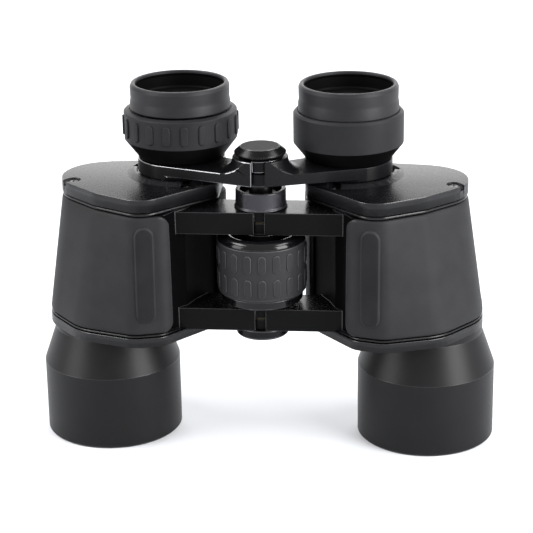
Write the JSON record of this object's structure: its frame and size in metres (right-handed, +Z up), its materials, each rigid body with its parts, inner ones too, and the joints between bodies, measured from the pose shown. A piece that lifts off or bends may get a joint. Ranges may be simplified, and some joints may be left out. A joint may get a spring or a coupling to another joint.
{
  "type": "binoculars",
  "caption": "Porro-prism astronomy binoculars with rubber-armoured halves that fold about a centre hinge, a focus wheel, a sliding bridge, a dioptre ring and fixed solar filters.",
  "frame": {"origin": "on the surface the objective rims stand on, under the middle of the part's bounding box", "axes": "+X to the right seen from the front with the eyepieces up, +Y to the back, +Z up along the hinge and the optical axes"},
  "size_m": [0.1764, 0.0679, 0.1403],
  "materials": {
    "casting": "fine matt black powder coat",
    "armour_rubber": "matt dark grey moulded rubber",
    "cover_black": "satin black, fine orange peel",
    "screw_steel": "blackened steel",
    "barrel_black": "satin black, fine grain",
    "cell_black": "matt black anodised",
    "coated_glass": "coated optical glass",
    "filter_glass": "black solar filter film on glass",
    "shelf_plate": "matt black anodised plate",
    "prism_glass": "polished optical glass",
    "spring_steel": "spring steel strip",
    "felt": "black felt ring",
    "bridge_black": "satin black, fine orange peel",
    "tube_black": "black anodised tube",
    "ocular_black": "matt black",
    "eyecup_rubber": "matt soft rubber",
    "ring_rubber": "matt rubber",
    "pivot_steel": "turned steel, greased",
    "collar_gloss": "glossy dark plating",
    "cap_plastic": "satin black",
    "washer_brass": "rolled brass",
    "wheel_black": "glossy black",
    "grip_rubber": "matt ribbed rubber",
    "cap_black": "satin black",
    "cap_grey": "grey matt disc"
  },
  "bodies": {
    "left_half": {"housing_left": "casting", "armour_left": "armour_rubber", "eyepiece_cover_left": "cover_black", "cover_screws_left": "screw_steel", "objective_cover_left": "cover_black", "objective_cover_screws_left": "screw_steel", "objective_barrel_left": "barrel_black", "objective_cell_left": "cell_black", "crown_lens_left": "coated_glass", "flint_lens_left": "coated_glass", "solar_filter_left": "filter_glass", "filter_ring_left": "cell_black", "prism_shelf_left": "shelf_plate", "prism_upper_left": "prism_glass", "prism_lower_left": "prism_glass", "prism_clips_left": "spring_steel", "tube_seal_left": "felt", "upper_pivot": "pivot_steel", "collar_nut": "collar_gloss", "lower_pivot": "pivot_steel", "tripod_cap": "cap_plastic", "hinge_washers": "washer_brass"},
    "right_half": {"housing_right": "casting", "armour_right": "armour_rubber", "eyepiece_cover_right": "cover_black", "cover_screws_right": "screw_steel", "objective_cover_right": "cover_black", "objective_cover_screws_right": "screw_steel", "objective_barrel_right": "barrel_black", "objective_cell_right": "cell_black", "crown_lens_right": "coated_glass", "flint_lens_right": "coated_glass", "solar_filter_right": "filter_glass", "filter_ring_right": "cell_black", "prism_shelf_right": "shelf_plate", "prism_upper_right": "prism_glass", "prism_lower_right": "prism_glass", "prism_clips_right": "spring_steel", "tube_seal_right": "felt"},
    "bridge_left": {"bridge_arm_left": "bridge_black", "eyepiece_tube_left": "tube_black", "focus_rod": "pivot_steel", "hinge_cap": "cap_black", "cap_disc": "cap_grey"},
    "bridge_right": {"bridge_arm_right": "bridge_black", "eyepiece_tube_right": "tube_black", "ocular_barrel_right": "ocular_black", "field_lens_right": "coated_glass", "eye_lens_right": "coated_glass", "eyecup_right": "eyecup_rubber", "ocular_collar": "ring_rubber"},
    "ocular_left": {"ocular_barrel_left": "ocular_black", "field_lens_left": "coated_glass", "eye_lens_left": "coated_glass", "eyecup_left": "eyecup_rubber"},
    "dioptre_ring": {"dioptre_ring": "ring_rubber"},
    "focus_wheel": {"focus_wheel": "wheel_black", "wheel_grip": "grip_rubber"}
  },
  "joints": [
    {"name": "fold", "type": "hinge", "parent": "left_half", "child": "right_half", "pos_m": [0, -0.01196, 0.075], "axis": [0, 0, 1], "range_deg": [-22, 19.8]},
    {"name": "focus_wheel_turn", "type": "hinge", "parent": "left_half", "child": "focus_wheel", "pos_m": [0, -0.01196, 0.075], "axis": [0, 0, 1], "range_deg": [-37, 325]},
    {"name": "focus_slide", "type": "slide", "parent": "left_half", "child": "bridge_left", "axis": [0, 0, 1], "range_m": [-0.0006, 0.0054]},
    {"name": "bridge_fold", "type": "hinge", "parent": "bridge_left", "child": "bridge_right", "pos_m": [0, -0.01196, 0.11], "axis": [0, 0, 1], "range_deg": [-22.1, 19.9]},
    {"name": "dioptre_turn", "type": "hinge", "parent": "bridge_left", "child": "dioptre_ring", "pos_m": [-0.0316, 0.00634, 0.12], "axis": [0, 0, 1], "range_deg": [-76, 76]},
    {"name": "dioptre_slide", "type": "slide", "parent": "bridge_left", "child": "ocular_left", "axis": [0, 0, 1], "range_m": [-0.0007, 0.0007]}
  ],
  "couplings": [
    {"joint": "focus_wheel_turn", "follows": "focus_slide", "rad_per_m": 1047.2},
    {"joint": "bridge_fold", "follows": "fold", "ratio": 1},
    {"joint": "dioptre_turn", "follows": "dioptre_slide", "rad_per_m": 1870}
  ]
}
